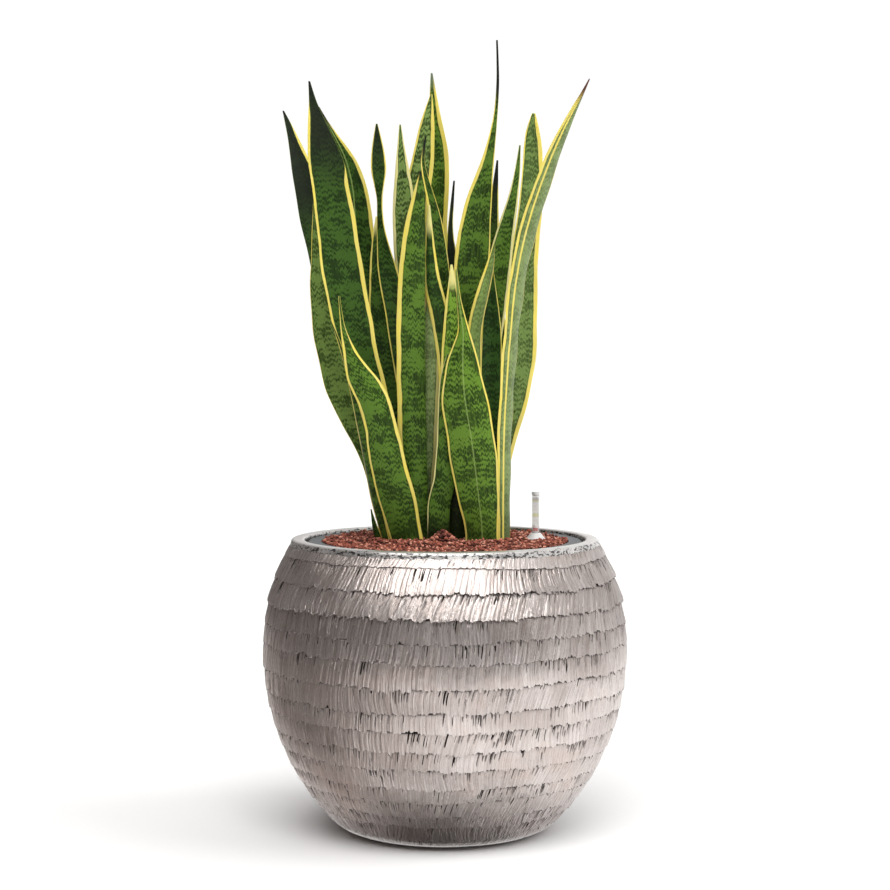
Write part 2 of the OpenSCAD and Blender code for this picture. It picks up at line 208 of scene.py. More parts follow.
def lathe(outline, columns, wobble):
    """Points and quads of an outline (radius, height) turned about the pot's axis, with
    wobble(turn, outline) added to the radius. A fan of quads closes the ring at each end."""
    outline = np.asarray(outline, float)
    turn = np.linspace(0, 2 * math.pi, columns, endpoint=False)
    radius = outline[:, :1] + wobble(turn, outline)
    points = np.stack([radius * np.cos(turn), radius * np.sin(turn),
                       np.repeat(outline[:, 1:], columns, 1)], -1).reshape(-1, 3)
    faces = [grid_faces(len(outline), columns)[:, ::-1]]
    for row, z, flip in ((0, outline[0, 1], 1), (len(outline) - 1, outline[-1, 1], 0)):
        centre = len(points)
        points = np.vstack([points, [[0, 0, z]]])
        i = np.arange(0, columns, 2)
        ring = row * columns
        fan = np.stack([np.full(len(i), centre), ring + i, ring + i + 1,
                        ring + (i + 2) % columns], -1)
        faces.append(fan[:, ::-1] if flip else fan)
    return points, np.vstack(faces)


def ring_noise(rng, turn, knots):
    """Smooth random wave round the pot, from -1 to 1."""
    values = rng.uniform(-1, 1, knots)
    at = (turn % (2 * math.pi)) / (2 * math.pi) * knots
    i = np.floor(at).astype(int) % knots
    t = at - np.floor(at)
    t = t * t * (3 - 2 * t)
    return values[i] * (1 - t) + values[(i + 1) % knots] * t


def through(x, y, at):
    """Smooth curve through the rows y at the places x, read at the places at."""
    slope = np.gradient(y, x, axis=0)
    i = np.clip(np.searchsorted(x, at) - 1, 0, len(x) - 2)
    h = (x[i + 1] - x[i])[:, None]
    t = (at - x[i])[:, None] / h
    return ((2 * t**3 - 3 * t**2 + 1) * y[i] + (t**3 - 2 * t**2 + t) * h * slope[i]
            + (3 * t**2 - 2 * t**3) * y[i + 1] + (t**3 - t**2) * h * slope[i + 1])


# ---------------------------------------------------------------- shell

shell_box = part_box("outer_shell")
POT_H = shell_box[1].z / MM
BELLY_R = shell_box[1].x / MM
BELLY_Z = 198                   # height of the shell's widest place
UPPER_R, LOWER_R = 242, 268     # radii of the profile's arcs above and below it
MOUTH_R = 154
WALL = 5
LIP_H = 12                      # height of the rim's inner lip
FOOT_TURN = np.array([[116, 5], [107.5, 1.8], [99, 0.6]])   # radius and height, down to the foot


def shell_radius(z, inset=0.0):
    """Radius of the shell's profile at the height z, moved inwards by inset."""
    z = np.asarray(z, float)
    return np.where(
        z > BELLY_Z,
        BELLY_R - UPPER_R + np.sqrt((UPPER_R - inset) ** 2 - (z - BELLY_Z) ** 2),
        BELLY_R - LOWER_R + np.sqrt((LOWER_R - inset) ** 2 - (z - BELLY_Z) ** 2))


class Skin:
    """The shell's outer face, from the rim's corner (0) down to the foot, by distance along it."""
    z = np.append(np.arange(POT_H - 3, 8, -1.0), FOOT_TURN[:, 1])
    r = np.append(shell_radius(z[:-len(FOOT_TURN)]), FOOT_TURN[:, 0])
    s = np.append(0, np.cumsum(np.hypot(np.diff(r), np.diff(z))))
    tr, tz = np.gradient(r, s), np.gradient(z, s)

    @classmethod
    def at_height(cls, z):
        return float(np.interp(-z, -cls.z, cls.s))

    @classmethod
    def point(cls, s):
        """Radius and height at the distance s."""
        return np.interp(s, cls.s, cls.r), np.interp(s, cls.s, cls.z)

    @classmethod
    def outward(cls, s):
        """Radius and height parts of the outward normal at the distance s."""
        return -np.interp(s, cls.s, cls.tz), np.interp(s, cls.s, cls.tr)

    @classmethod
    def place(cls, turn, s, out):
        """Points at the distance s round the pot, moved out along the normal."""
        (r, z), (nr, nz) = cls.point(s), cls.outward(s)
        r, z = r + out * nr, np.maximum(z + out * nz, 0.05)
        return np.stack([r * np.cos(turn), r * np.sin(turn), z], -1)


def metal_leaf():
    """Champagne metal leaf over brushed courses: bright strands, darker at the strands' edges, dark brown
    glaze in slits, specks and chips, painted shade under each course above and on its turned-in lip, and a
    painted highlight along each lower edge.
    u runs round the pot and v down it, in mm; each course starts at a multiple of COURSE_PITCH in v."""
    m = Look("metal_leaf_relief")
    grain = m.add("ShaderNodeUVMap", uv_map="grain").outputs[0]
    split = m.add("ShaderNodeSeparateXYZ")
    m.put(split.inputs[0], grain)
    u, v = m.times(split.outputs[0], 1000), m.times(split.outputs[1], 1000)
    shade_and_slits, tone, edge = m.attribute("shade_and_slits"), m.attribute("tone"), m.attribute("edge")
    lifted = m.plus(v, COURSE_LEAD)
    seed = m.times(m.math("FLOOR", m.math("DIVIDE", lifted, COURSE_PITCH)), 13.7)
    down = m.minus(m.math("MODULO", lifted, COURSE_PITCH), COURSE_LEAD)

    hair = m.flow(u, v, 1.5, 0.05, 0.0, 3, 0.6)
    strand = m.flow(u, v, 0.6, 0.025, 7.0, 2)
    patch = m.noise(m.scaled(14, 14, 20), 3, 0.55)
    mottle = m.noise(m.scaled(170, 170, 120), 3, 0.6)
    speck = m.flow(u, v, 0.95, 0.17, 3.0, 2)

    # Slits hang in clusters from the upper edge of each course
    gap = m.noise(m.combine(m.times(u, 0.72), seed, m.times(v, 0.018)), 1)
    cluster = m.noise(m.combine(m.times(u, 0.05), seed, 4.0), 2)
    depth = m.noise(m.combine(m.times(u, 0.35), seed, 9.0), 1)
    depth = m.times(m.step(depth, 0.3, 0.7, 0.35, 1.3), m.step(cluster, 0.39, 0.62, 0.3, 13))
    slit = m.times(m.step(gap, 0.595, 0.625), m.step(m.minus(depth, down), 0.0, 1.6))

    # tone carries painted shade: darker at each course's top, under the course above
    level = m.plus(m.times(tone, 0.5), m.times(m.step(patch, 0.3, 0.7), 0.22))
    level = m.math("ADD", level, m.times(m.step(strand, 0.3, 0.7), 0.28), True)
    colour = m.mix(level, (0.33, 0.27, 0.245), (0.76, 0.70, 0.675))
    colour = m.mix(m.step(patch, 0.52, 0.72, 0, 0.3), colour, (0.46, 0.34, 0.29))
    colour = m.mix(m.step(hair, 0.43, 0.27, 0, 0.62), colour, (0.15, 0.12, 0.105))
    # Painted highlight along each course's lower edge
    colour = m.mix(m.times(edge, 0.12), colour, (0.74, 0.69, 0.66))
    # Painted shade towards the foot, darkest down at the floor
    above_foot = m.plus(m.height(), m.times(patch, 30))
    colour = m.mix(m.step(above_foot, 98, 14, 0, 0.82), colour, (0.10, 0.078, 0.07))

    # Dark glaze fills the slits and shows through specks and chips of the rim's course; the same dark is
    # painted shade under each course above and on its lip, and darkens the strands' edges
    glaze_and_shade = m.math("MAXIMUM", shade_and_slits, m.step(speck, 0.30, 0.23, 0, 0.85))
    glaze_and_shade = m.math("MAXIMUM", glaze_and_shade, slit)
    chip = m.flow(u, v, 0.45, 0.5, 6.0, 3, 0.7)
    chip = m.times(m.step(chip, 0.46, 0.42), m.step(v, 6.0, 2.5))
    glaze_and_shade = m.math("MAXIMUM", glaze_and_shade, chip)
    colour = m.mix(glaze_and_shade, colour, (0.016, 0.012, 0.010))
    rough = m.plus(m.step(hair, 0.3, 0.7, 0.36, 0.24), m.times(glaze_and_shade, 0.4))
    m.surface(Base_Color=colour, Metallic=m.step(glaze_and_shade, 0.1, 0.7, 0.84, 0.0), Roughness=rough,
              Specular_IOR_Level=0.15)
    fine = m.bump(hair, 0.55, 0.0006)
    fine = m.bump(mottle, 0.25, 0.0012, fine)
    fine = m.bump(m.minus(1.0, slit), 0.8, 0.0008, fine)
    m.surface(Normal=m.bump(strand, 0.45, 0.0010, fine))
    return m.material


def rim_metal():
    """The same leaf, smooth and pale on the flat rim, with dark worn places at its corners."""
    m = Look("metal_leaf_rim")
    cloud = m.noise(m.scaled(30), 4, 0.6)
    fine = m.noise(m.scaled(420), 2)
    colour = m.mix(m.step(cloud, 0.3, 0.7), (0.64, 0.62, 0.605), (0.84, 0.82, 0.805))
    corner = m.step(m.height(), POT_H - 0.3, POT_H - 1.6)
    worn = m.noise(m.scaled(210, 210, 420), 4, 0.7)
    worn = m.minus(worn, m.times(corner, 0.13))
    colour = m.mix(m.step(worn, 0.37, 0.33, 0, 0.9), colour, (0.022, 0.019, 0.018))
    m.surface(Base_Color=colour, Metallic=0.8, Roughness=m.step(cloud, 0.2, 0.8, 0.30, 0.42))
    m.surface(Normal=m.bump(m.plus(cloud, m.times(fine, 0.15)), 0.25, 0.002))
    return m.material


def shell_inside():
    """Grey unfinished casting."""
    m = Look("shell_inside")
    cloud = m.noise(m.scaled(18), 4, 0.6)
    grit = m.noise(m.scaled(600), 3, 0.7)
    m.surface(Base_Color=m.mix(cloud, (0.10, 0.095, 0.09), (0.17, 0.16, 0.15)),
              Roughness=m.step(grit, 0.3, 0.7, 0.7, 0.85), Normal=m.bump(grit, 0.4, 0.0008))
    return m.material


# Heights of the courses' upper edges at the front, from the rim to the foot
COURSES = [316.6, 303.5, 279.5, 254.5, 231.5, 211, 185, 160.5, 138.7, 118.6, 97, 76, 60.5, 44, 30, 15]
# How far each course's lower edge stands out over the course below
OVERHANGS = [1.3, 2.3, 2.6, 0.9, 1.0, 1.3, 1.5, 1.2, 1.3, 1.1, 1.2, 1.3, 1.2, 1.2, 1.1, 0.6]
# How strongly each course is ridged by its strands
RIDGES = [0.45, 1.0, 1.1, 1.0, 0.9, 0.7, 0.6, 0.5, 0.5, 0.5, 0.5, 0.55, 0.6, 0.6, 0.6, 0.3]
COURSE_PITCH = 60               # courses lie this far apart in the relief's UV
COURSE_LEAD = 10                # room in the UV above each course's upper edge
COLUMNS = 1600                  # points round the pot
STRAND = 3.6                    # usual width of a brushed strand
TUCK = 4.0                      # how far a course runs up under the one above it
TUCK_SINK = 2.3                 # and how far below the shell's face its hidden edge lies
# Turned-in lower edge of a course, row by row: how far down, how far in, and how dark its painted shade is
LIP = ((0.05, 0.35, 0.85), (0.1, 1.3, 1.0), (0.0, 2.7, 1.0))


def strand_table(rng, count):
    """Edges (0 to 1 round the pot) and random height, tone and tooth of each strand in a course."""
    width = rng.uniform(0.35, 1.9, count)
    edges = np.append(0, np.cumsum(width / width.sum()))
    return edges, rng.uniform(-1, 1, count), rng.normal(0, 1, count), rng.uniform(-1, 1, count)


def carve_slits(rng, k, u, v, girth, shade_and_slits, out):
    """Cuts clusters of long dark slits into a course's grid, in place."""
    first, last = k == 0, k == len(COURSES) - 1
    reach = 28                                  # columns looked at on each side of a slit
    for start in rng.uniform(0, girth, 4 if last else 20):
        spread = rng.integers(2, 8)
        for slot in start + np.cumsum(rng.uniform(2.2, 7.5, spread)):
            long = rng.uniform(3.5, 13.5) * (0.5 if first else 1)
            half = rng.uniform(0.35, 0.85)
            from_top = rng.uniform(0, 2.2) + (3 if first else 0)
            from_top += (rng.random() < 0.15) * rng.uniform(3, 10)
            centre = int(round((slot % girth) / girth * COLUMNS))
            near = (centre + np.arange(-reach, reach + 1)) % COLUMNS
            away = np.abs((u[:, near] - slot + girth / 2) % girth - girth / 2)
            along = (v[:, near] - from_top) / long
            taper = np.where((along > -0.08) & (along < 1), np.sqrt(np.clip(1 - along, 0, 1)), 0)
            dark = np.clip((half * taper + 0.3 - away) / 0.45, 0, 1) * (taper > 0)
            shade_and_slits[:, near] = np.maximum(shade_and_slits[:, near], dark * rng.uniform(0.75, 1.0))
            out[:, near] -= 0.7 * dark


def course_uv(turn, girth, slant, v, k):
    """UV corners of a course's faces, in metres: u follows the lean of its strands."""
    flat_u = (turn / (2 * math.pi) * girth)[None, :] + slant
    flat_u = np.hstack([flat_u, flat_u[:, :1] + girth])
    flat_v = np.hstack([v, v[:, :1]]) + COURSE_PITCH * k
    r, c = np.meshgrid(np.arange(len(v) - 1), np.arange(COLUMNS), indexing="ij")
    corners = [(r, c), (r + 1, c), (r + 1, c + 1), (r, c + 1)]
    return (np.stack([np.stack([flat_u[a, b], flat_v[a, b]], -1) for a, b in corners], 2) * MM).reshape(-1, 2)


def course(k, turn, edge_lines, rng):
    """One brushed course: its grid of points, its shade_and_slits values (painted shade and the slits' dark),
    its tone and edge values, and its UV.
    share runs from 0 at the upper edge to 1 at the lower one, and t from 0 to 1 over a strand."""
    top, low = edge_lines[k], edge_lines[k + 1]
    first, last = k == 0, k == len(COURSES) - 1
    girth = 2 * math.pi * float(np.interp(top.mean(), Skin.s, Skin.r))
    count = int(girth / (STRAND * (1.5 if first else 1)))
    edges, lift, shade, tooth = strand_table(rng, count)
    lean = 0.16 + 0.15 * np.cos(turn) + 0.22 * ring_noise(rng, turn, 9) + 0.2 * max(0, 1 - k / 5)
    bend = 0.010 * ring_noise(rng, turn, 13) - 0.004
    length = low - top
    rows = max(9, int(round(length.mean() / 1.55)))
    share = np.append(np.linspace(0, 1, rows), 1 - 0.22 / length.mean())
    share = np.sort(share)[:, None]
    rows += 1

    def strand_at(v):
        at = (turn / (2 * math.pi) + (lean * v + bend * v * v) / girth) % 1
        i = np.clip(np.searchsorted(edges, at, side="right") - 1, 0, count - 1)
        return at, i, (at - edges[i]) / (edges[i + 1] - edges[i])

    # Ragged lower edge
    tooth_size = 0.4 if last else (0.8 if first else 1.8)
    _, i_low, t_low = strand_at(length)
    teeth = tooth_size * (0.9 * tooth[i_low] + 0.7 * (1 - np.abs(2 * t_low - 1)))
    teeth += 0.6 * tooth_size * ring_noise(rng, turn, 800) + tooth_size * ring_noise(rng, turn, 160) ** 3
    v = share * (length + teeth)
    at, i, t = strand_at(v)

    # Height of the relief over the shell's face
    ridge = RIDGES[k]
    overhang = OVERHANGS[k] * (1 + 0.3 * ring_noise(rng, turn, 14))
    belly = 0.25 * rng.uniform(-1, 1) + 0.3 * ring_noise(rng, turn, 12)
    out = -1.1 + overhang * share
    out = out + belly * 4 * share * (1 - share)
    rounded = 0.38 * (1 - (2 * t - 1) ** 2) - 0.25 * np.abs(2 * t - 1) ** 7
    out = out + ridge * (0.28 * lift[i] + 0.42 * lift[(i * 7) % count] * (share - 0.5))
    out = out + ridge * rounded * (0.6 + 0.4 * share)
    out = out + 0.10 * ring_noise(rng, at * 2 * math.pi, 800) * ridge

    # Values that the shader reads
    tone = 0.5 + 0.16 * shade[i] * ridge + 0.22 * ring_noise(rng, turn, 17) + 0.12 * ring_noise(rng, turn, 53)
    # Painted shade: each course darker at its top, under the course above, and lighter towards its lower edge
    tone = tone + 0.25 * (share - 0.6)
    deep = np.clip(0.55 + 0.7 * ring_noise(rng, turn, 130) + 0.3 * ring_noise(rng, turn, 17), 0.08, 1)
    # Painted shade just under the course above, fading over its first mm; then darker at the strands' edges
    shade_and_slits = deep * np.exp(-v / 1.0) * (0.4 if first else 1)
    shade_and_slits = np.maximum(shade_and_slits, 0.38 * ridge * np.abs(2 * t - 1) ** 9)
    # Painted highlight along the course's lower edge
    edge = np.clip((share - 0.9) / 0.1, 0, 1) * (0.6 + 0.4 * ring_noise(rng, turn, 90))
    carve_slits(rng, k, at * girth, v, girth, shade_and_slits, out)

    # Hidden row under the course above, and the turned-in lip below
    s = top + v
    tuck = 0 if first else 1
    if tuck:
        s = np.vstack([top - TUCK, s])
        out = np.vstack([np.full(COLUMNS, -TUCK_SINK), out])
        shade_and_slits, tone, edge = (np.vstack([a[:1], a]) for a in (shade_and_slits, tone, edge))
        v = np.vstack([v[:1] - TUCK, v])
    if not last:
        # The turned-in lip is painted dark: painted shade under the course's edge
        for down, sink, dark in LIP:
            s = np.vstack([s, s[rows + tuck - 1] + down])
            out = np.vstack([out, out[rows + tuck - 1] - sink])
            shade_and_slits = np.vstack([shade_and_slits, np.maximum(shade_and_slits[-1], dark * (0.45 + 0.55 * deep))])
            tone, edge, v = (np.vstack([a, a[-1:]]) for a in (tone, edge, v))
    values = {"shade_and_slits": shade_and_slits, "tone": tone, "edge": edge}
    return Skin.place(turn, s, out), values, course_uv(turn, girth, lean * v + bend * v * v, v, k)


def build_courses():
    """The relief of the shell's outside, two courses to a piece."""
    rng = np.random.default_rng(20)
    turn = np.linspace(0, 2 * math.pi, COLUMNS, endpoint=False)
    lines = []
    for k, z in enumerate(COURSES):
        if k == 0:
            wave = np.zeros(COLUMNS)
        else:
            wave = 1.9 * ring_noise(rng, turn, 8) + 1.1 * ring_noise(rng, turn, 31)
        lines.append(Skin.at_height(z) + wave)
    lines.append(np.full(COLUMNS, Skin.s[-1]))
    made = [course(k, turn, lines, rng) for k in range(len(COURSES))]
    relief = metal_leaf()
    for first in range(0, len(COURSES), 2):
        pair = made[first:first + 2]
        starts = (0, len(pair[0][0]) * COLUMNS)
        faces = [grid_faces(len(grid), COLUMNS, start) for (grid, _, _), start in zip(pair, starts)]
        floats = {key: np.concatenate([values[key].ravel() for _, values, _ in pair])
                  for key in ("shade_and_slits", "tone", "edge")}
        name = f"shell_courses_{first + 1}_{first + 2}"
        mesh = new_mesh(name, np.vstack([grid.reshape(-1, 3) for grid, _, _ in pair]), np.vstack(faces),
                        floats, np.vstack([uv for _, _, uv in pair]))
        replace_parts(piece(name, mesh, "outer_pot", "metal_leaf", relief), "outer_shell")


def wall_outline():
    """Closed outline (radius, height) of the wall behind the courses, from the foot over the rim
    and down the inside."""
    outline = [(2, 0.0), (60, 0.0), (97, 0.0), (104, 0.6)]
    for s in np.linspace(Skin.s[-1] - 14, 3, 44):
        sink = 3.0 if s > 16 else 3.0 - 2.4 * (16 - s) / 13
        (r, z), (nr, nz) = Skin.point(s), Skin.outward(s)
        outline.append((float(r) - sink * nr, max(float(z) - sink * nz, 1.2)))
    corner = float(shell_radius(POT_H - 3))
    outline += [(corner + 0.2, POT_H - 3.4), (corner - 0.1, POT_H - 2.2), (corner - 0.8, POT_H - 1.0),
                (corner - 2.0, POT_H - 0.25), (corner - 3.6, POT_H)]
    outline += [(r, POT_H) for r in (162, 160, 158)]
    outline += [(MOUTH_R + 2.4, POT_H - 0.05), (MOUTH_R + 1.0, POT_H - 0.5), (MOUTH_R + 0.2, POT_H - 1.5)]
    outline += [(MOUTH_R, POT_H - 3), (MOUTH_R, POT_H - 7), (MOUTH_R, POT_H - 11.6)]
    outline += [(MOUTH_R + 0.4, POT_H - LIP_H), (MOUTH_R + 5, POT_H - LIP_H)]
    outline += [(float(shell_radius(z, WALL)), z) for z in np.linspace(POT_H - LIP_H, 14, 34)]
    return outline + [(108, 9), (100, 7.2), (60, 7), (2, 7)]


def build_wall():
    rng = np.random.default_rng(5)
    sizes, phases = rng.uniform(-1, 1, 6), rng.uniform(0, 6.3, 6)

    def wobble(turn, shape):
        """A slow unevenness of the rim, as on a hand-finished pot."""
        wave = sum(a * np.sin((j + 2) * turn + p) for j, (a, p) in enumerate(zip(sizes, phases)))
        return 0.16 * wave * np.exp(-((shape[:, 1:] - POT_H) / 6) ** 2)
    points, faces = lathe(wall_outline(), 512, wobble)
    mesh = new_mesh("shell_wall", points, faces)
    wall = piece("shell_wall", mesh, "outer_pot", "metal_leaf", rim_metal(), shell_inside())
    centre = np.zeros(len(mesh.polygons) * 3)
    mesh.polygons.foreach_get("center", centre)
    centre = centre.reshape(-1, 3) / MM
    radius, z = np.hypot(centre[:, 0], centre[:, 1]), centre[:, 2]
    inside = (z < POT_H - 9) & (radius < shell_radius(np.clip(z, 1, POT_H - 1), WALL - 0.8))
    inside |= z < 0.5
    mesh.polygons.foreach_set("material_index", inside.astype(np.int32))
    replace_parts(wall, "outer_shell")


build_courses()
build_wall()


# ---------------------------------------------------------------- leaves

LEAF_NAMES = sorted(n for n in nodes if n.startswith("leaf_"))
YELLOW = (0.80, 0.66, 0.09)
CREAM = (0.76, 0.70, 0.26)
BLACK = (0.012, 0.014, 0.010)
BROWN = (0.10, 0.035, 0.02)
DEEP_GREEN, BRIGHT_GREEN = (0.020, 0.058, 0.010), (0.185, 0.335, 0.034)
PALE_GREEN = (0.33, 0.40, 0.18)
BAND_GREEN = (0.004, 0.013, 0.002)
ROOT_DEPTH = 7                  # how far a blade runs down into the pellets
CROWN_DEPTH = 2                 # how far the crown's top lies below the rim


def blade_lines(name):
    """Left margin, fold and right margin of a CAD blade, level by level: heights and (n, 6) places."""
    points = np.zeros(len(nodes[name].data.vertices) * 3)
    nodes[name].data.vertices.foreach_get("co", points)
    points = np.unique(np.round(points.reshape(-1, 3) / MM, 2), axis=0)
    levels = np.unique(points[:, 2])
    heights, lines, last = [], [], np.array([1.0, 0.0])
    for z in levels:
        ring = points[points[:, 2] == z][:, :2]
        if len(ring) != 6:
            continue
        middle = ring.mean(0)
        way = np.linalg.svd(ring - middle)[2][0]
        way = way if way @ last > 0 else -way
        order = np.argsort((ring - middle) @ way)
        left, fold, right = (ring[order[k:k + 2]].mean(0) for k in (0, 2, 4))
        heights.append(z)
        lines.append(np.concatenate([left, fold, right]))
        last = way
    return np.array(heights), np.array(lines)


def blade_rings(rng, heights, lines):
    """Rings of points (rows, sides, 3) of a blade with rounded margins, with the place of each
    ring's points across the blade (-1 to 1), its half width and its distance along the blade."""
    base = POT_H - CROWN_DEPTH
    first = lines[0] + (lines[0] - lines[1]) * (heights[0] - base) / (heights[1] - heights[0])
    heights = np.concatenate([[base - ROOT_DEPTH, base], heights])
    lines = np.vstack([first, first, lines])
    top = heights[-1]
    rows = int((top - heights[0]) / 3.2)
    z = np.append(np.linspace(heights[0], top - 4, rows), top - 4 + np.array([1.5, 2.8, 4.0]))
    path = through(heights, lines, z)
    left, fold, right = path[:, 0:2], path[:, 2:4], path[:, 4:6]
    middle, half = (left + right) / 2, (right - left) / 2
    width = np.linalg.norm(half, axis=1)
    half = half / np.maximum(width, 0.3)[:, None]
    normal = np.stack([half[:, 1], -half[:, 0]], 1)

    # The blade narrows to its tip over the last 26 mm
    tip = np.clip((top - z) / 26, 0, 1) ** 0.6
    narrow = np.where(tip < 1, np.maximum(tip, 0.12), 1)
    width = np.maximum(np.minimum(width, 60 * narrow), 0.28)

    # Its fold is eased, and its two margins wave
    cup = np.sum((fold - middle) * normal, 1) * 1.3
    t = np.sin(np.linspace(-math.pi / 2, math.pi / 2, 21))
    wave_a = 0.9 * np.sin(2 * math.pi * z / rng.uniform(75, 120) + rng.uniform(0, 6.3))
    wave_b = 0.9 * np.sin(2 * math.pi * z / rng.uniform(60, 100) + rng.uniform(0, 6.3))
    size = np.clip(width / 18, 0, 1)[:, None]
    bow = cup[:, None] * (1 - np.abs(t) ** 1.5)
    bow = bow + size * np.where(t < 0, wave_a[:, None], wave_b[:, None]) * np.abs(t) ** 3
    ease = 1 + size * 0.018 * np.sin(z * 0.11 + rng.uniform(0, 6.3))[:, None]
    thick = (0.55 + 0.8 * (1 - t ** 2)) * np.sqrt(1 - t ** 8)
    thick = thick * np.minimum(1, width[:, None] / 5)
    core = middle[:, None] + half[:, None] * (width[:, None] * t * ease)[..., None]

    front, back = (core + normal[:, None] * (bow + sign * thick)[..., None] for sign in (1, -1))
    ring = np.concatenate([front, back[:, -2:0:-1]], 1)
    across = np.concatenate([t, t[-2:0:-1]])
    rings = np.concatenate([ring, np.repeat(z[:, None, None], ring.shape[1], 1)], 2)
    centre = path.reshape(-1, 3, 2).mean(1)
    run = np.append(0, np.cumsum(np.hypot(np.linalg.norm(np.diff(centre, axis=0), axis=1), np.diff(z))))
    return rings, across, width, run


def build_leaf(name, look, index):
    rings, across, width, run = blade_rings(np.random.default_rng(100 + index), *blade_lines(name))
    count, sides = rings.shape[:2]
    faces = [list(f) for f in grid_faces(count, sides)]
    faces += [list(range(sides)), list(range((count - 1) * sides, count * sides))]
    mesh = bpy.data.meshes.new(name + "_blade")
    mesh.from_pydata((rings.reshape(-1, 3) * MM).tolist(), [], faces)
    made = bmesh.new()
    made.from_mesh(mesh)
    bmesh.ops.recalc_face_normals(made, faces=made.faces)
    made.to_mesh(mesh)
    made.free()
    mesh.shade_smooth()
    for key, values in (("across", np.broadcast_to(across, (count, sides))),
                        ("half", np.repeat(width[:, None], sides, 1)),
                        ("along", np.repeat(run[:, None], sides, 1)),
                        ("share", np.repeat(run[:, None] / run[-1], sides, 1))):
        layer = mesh.attributes.new(key, "FLOAT", "POINT")
        layer.data.foreach_set("value", values.astype(np.float32).ravel())
    ob = piece(name + "_blade", mesh, "culture_set", "leaf_blade", leaf_look(name, index, **look))
    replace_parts(ob, name)


def between(low, high, share):
    """Colour part of the way from low to high."""
    return tuple(a + (b - a) * share for a, b in zip(low, high))


def leaf_look(name, index, left=2.0, right=2.0, light=0.5, pale=0.0, bands=1.0, edge=YELLOW,
              tip=None, tip_at=0.92, stripes=(), fold_highlight=0.0, shade=0.0, dusk=None, until=(2.0, 2.0)):
    """Sword leaf: dark zigzag bands over green, with cream or yellow margins left and right (mm).
    light, pale and bands choose the greens. tip colours the blade from tip_at on, dusk darkens it
    up to the tip, shade darkens its foot with painted shade, and until ends the left and right margin;
    these are shares of its length. stripes are (place across, width in mm), and fold_highlight is a painted
    highlight along the middle line."""
    m = Look(name)
    across, half = m.attribute("across"), m.attribute("half")
    along, share = m.attribute("along"), m.attribute("share")
    u = m.times(across, half)
    seed = 3.7 * index
    jag = m.flow(u, along, 0.5, 0.04, seed, 3, 0.65)
    moved = m.plus(along, m.swing(jag, 22))
    field = m.flow(u, moved, 0.05, 0.085, seed + 5, 3, 0.7)
    streak = m.flow(u, along, 1.3, 0.06, seed, 2, 0.6)
    zigzag = m.flow(u, along, 0.30, 0.02, seed + 2, 1)
    ripple = m.plus(along, m.swing(zigzag, 15))
    ripple = m.times(m.math("SINE", m.times(ripple, 1.08)), 0.10)
    broad = m.swing(field, 1.35)
    band = m.step(m.plus(broad, ripple), -0.055, 0.055)
    green = between(between(DEEP_GREEN, BRIGHT_GREEN, light), PALE_GREEN, pale)
    dark = between(green, BAND_GREEN, 0.9 * bands)
    colour = m.mix(band, dark, green)
    colour = m.mix(m.step(streak, 0.35, 0.75, 0, 0.35), colour, tuple(c * 1.5 for c in green))
    # Painted shade on the foot of the blade, down among the other blades
    colour = m.mix(m.step(share, 0.16, 0.0, 0, 0.55), colour, (0.014, 0.03, 0.008))
    if dusk:
        uneven = m.plus(share, m.swing(field, 0.12))
        colour = m.mix(m.step(uneven, dusk, dusk + 0.16, 0, 0.88), colour, BLACK)
    wander = m.noise(m.combine(0.0, m.times(along, 0.045), seed), 2)
    wander = m.swing(wander, 2.4)
    cream = m.mix(m.step(streak, 0.3, 0.7), edge, tuple(0.8 * c + 0.12 for c in edge))
    from_left, from_right = m.plus(half, u), m.minus(half, u)
    slim = m.math("MINIMUM", m.times(half, 0.12), 1.0)
    for wide, away, end in ((left, from_left, until[0]), (right, from_right, until[1])):
        if wide:
            reach = m.plus(wide, m.times(wander, min(1, wide / 3)))
            reach = m.times(reach, m.step(share, end, end - 0.05))
            reach = m.minus(m.times(reach, slim), away)
            colour = m.mix(m.step(reach, -1.6, -0.4, 0, 0.55), colour, (0.02, 0.06, 0.015))
            colour = m.mix(m.step(reach, -0.35, 0.35), colour, cream)
    for at, wide in stripes:
        line = m.plus(at, m.times(wander, 0.02))
        away = m.times(m.math("ABSOLUTE", m.minus(across, line)), half)
        colour = m.mix(m.step(away, wide / 2 + 0.3, wide / 2 - 0.3), colour, cream)
    # Painted highlight along the fold
    if fold_highlight:
        away = m.times(m.math("ABSOLUTE", across), half)
        colour = m.mix(m.step(away, 1.1, 0.3, 0, fold_highlight), colour, (0.30, 0.42, 0.12))
    if tip:
        colour = m.mix(m.step(share, tip_at, min(1, tip_at + 0.05)), colour, tip)
    # Painted shade over the blade's foot
    if shade:
        colour = m.mix(m.step(share, shade, 0.3 * shade, 0, 0.93), colour, (0.006, 0.009, 0.003))
    m.surface(Base_Color=colour, Roughness=m.step(streak, 0.3, 0.7, 0.40, 0.52), Specular_IOR_Level=0.14,
              Normal=m.bump(field, 0.15, 0.001, m.bump(streak, 0.3, 0.0006)))
    return m.material


